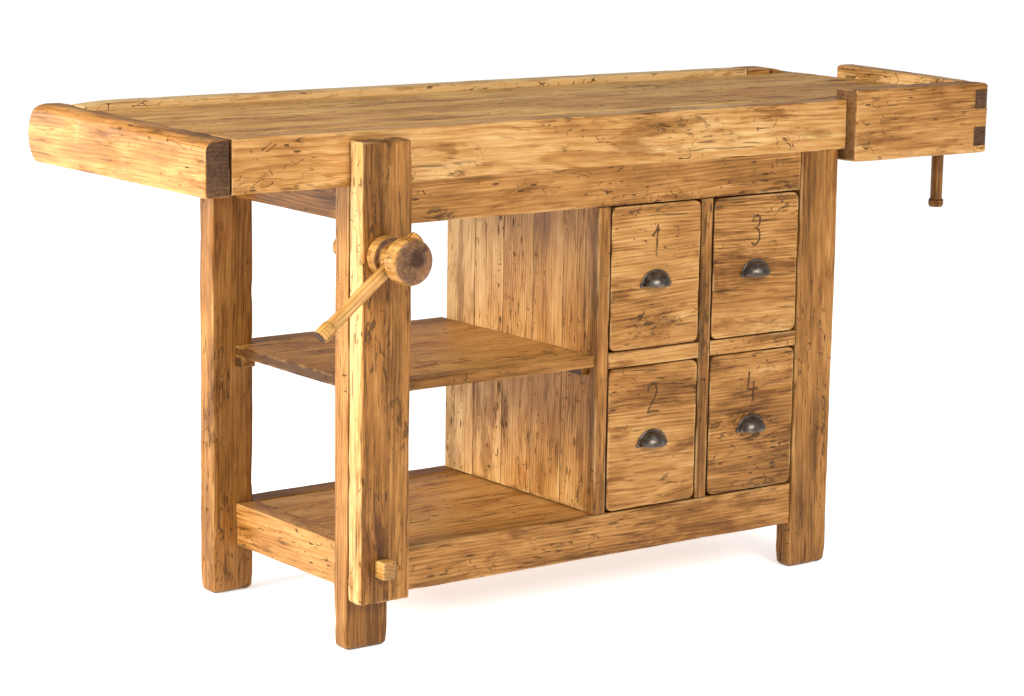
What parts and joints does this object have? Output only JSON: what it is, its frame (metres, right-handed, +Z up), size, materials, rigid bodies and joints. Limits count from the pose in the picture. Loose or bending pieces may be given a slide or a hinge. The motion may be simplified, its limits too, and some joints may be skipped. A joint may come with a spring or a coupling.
{
  "type": "workbench with drawers",
  "caption": "Old pine joiner's workbench with a leg vise, a tail vise, an open bay with a shelf and a cabinet of numbered drawers with cup pulls.",
  "frame": {"origin": "middle of the bounding box's bottom face, on the floor", "axes": "+X along the bench towards the tail vise, +Y from the front to the back, +Z up"},
  "size_m": [1.8156, 0.738, 0.906],
  "materials": {
    "old_pine": "waxed, worn, with dents, knots and dark scratches",
    "brown_pine": "darker, waxed, worn",
    "turned_pine": "turned, waxed, with dark end grain",
    "dark_hardwood": "oiled",
    "iron": "antique pewter, satin"
  },
  "bodies": {
    "bench": {"leg_front_left": "old_pine", "leg_front_right": "old_pine", "leg_back_left": "old_pine", "leg_back_right": "old_pine", "front_apron": "old_pine", "back_apron": "brown_pine", "side_rail_left": "brown_pine", "side_rail_right": "brown_pine", "front_stretcher": "old_pine", "back_stretcher": "brown_pine", "side_stretcher_left": "old_pine", "side_stretcher_right": "old_pine", "lower_shelf_planks": "brown_pine", "middle_shelf": "brown_pine", "shelf_cleats": "brown_pine", "front_beam": "old_pine", "top_planks": "old_pine", "top_battens": "brown_pine", "end_board_left": "old_pine", "back_rail": "old_pine", "back_rail_block": "old_pine", "tail_vise_nut": "dark_hardwood", "tail_vise_keepers": "brown_pine", "cabinet_side_left": "old_pine", "cabinet_side_right": "old_pine", "cabinet_back": "brown_pine", "cabinet_post": "old_pine", "cabinet_stile": "old_pine", "cabinet_partition": "brown_pine", "cabinet_rails": "old_pine", "drawer_runners": "brown_pine"},
    "leg_vise_jaw_body": {"leg_vise_chop": "old_pine", "leg_vise_guide": "turned_pine", "leg_vise_garter": "dark_hardwood"},
    "leg_vise_screw_body": {"leg_vise_screw": "turned_pine"},
    "leg_vise_handle_body": {"leg_vise_handle": "turned_pine", "leg_vise_handle_knob": "turned_pine"},
    "tail_vise_jaw_body": {"tail_vise_jaw": "old_pine", "tail_vise_end_board": "old_pine", "tail_vise_garter": "dark_hardwood", "tail_vise_slide_bar": "brown_pine"},
    "tail_vise_screw_body": {"tail_vise_screw": "turned_pine"},
    "tail_vise_handle_body": {"tail_vise_handle": "turned_pine", "tail_vise_handle_knob": "turned_pine"},
    "drawer_1": {"drawer_1_front": "old_pine", "drawer_1_box": "brown_pine", "drawer_1_bottom": "brown_pine", "drawer_1_pull": "iron"},
    "drawer_2": {"drawer_2_front": "old_pine", "drawer_2_box": "brown_pine", "drawer_2_bottom": "brown_pine", "drawer_2_pull": "iron"},
    "drawer_3": {"drawer_3_front": "old_pine", "drawer_3_box": "brown_pine", "drawer_3_bottom": "brown_pine", "drawer_3_pull": "iron"},
    "drawer_4": {"drawer_4_front": "old_pine", "drawer_4_box": "brown_pine", "drawer_4_bottom": "brown_pine", "drawer_4_pull": "iron"}
  },
  "joints": [
    {"name": "leg_vise_slide", "type": "slide", "parent": "bench", "child": "leg_vise_jaw_body", "axis": [0, -1, 0], "range_m": [0, 0.03501]},
    {"name": "leg_vise_turn", "type": "hinge", "parent": "leg_vise_jaw_body", "child": "leg_vise_screw_body", "pos_m": [-0.59675, -0.277, 0.677], "axis": [0, -1, 0], "range_deg": [0, 1050]},
    {"name": "leg_vise_bar_slide", "type": "slide", "parent": "leg_vise_screw_body", "child": "leg_vise_handle_body", "axis": [0.788, 0, 0.6157], "range_m": [0, 0.137]},
    {"name": "tail_vise_slide", "type": "slide", "parent": "bench", "child": "tail_vise_jaw_body", "axis": [1, 0, 0], "range_m": [0, 0.10001]},
    {"name": "tail_vise_turn", "type": "hinge", "parent": "tail_vise_jaw_body", "child": "tail_vise_screw_body", "pos_m": [0.81575, -0.09, 0.8], "axis": [1, 0, 0], "range_deg": [0, 2880]},
    {"name": "tail_vise_bar_slide", "type": "slide", "parent": "tail_vise_screw_body", "child": "tail_vise_handle_body", "axis": [0, 0, 1], "range_m": [0, 0.122]},
    {"name": "drawer_1_slide", "type": "slide", "parent": "bench", "child": "drawer_1", "axis": [0, -1, 0], "range_m": [0, 0.33]},
    {"name": "drawer_2_slide", "type": "slide", "parent": "bench", "child": "drawer_2", "axis": [0, -1, 0], "range_m": [0, 0.33]},
    {"name": "drawer_3_slide", "type": "slide", "parent": "bench", "child": "drawer_3", "axis": [0, -1, 0], "range_m": [0, 0.33]},
    {"name": "drawer_4_slide", "type": "slide", "parent": "bench", "child": "drawer_4", "axis": [0, -1, 0], "range_m": [0, 0.33]}
  ],
  "couplings": [
    {"joint": "leg_vise_slide", "follows": "leg_vise_turn", "m_per_rad": 0.0019099},
    {"joint": "tail_vise_slide", "follows": "tail_vise_turn", "m_per_rad": 0.0019894}
  ]
}
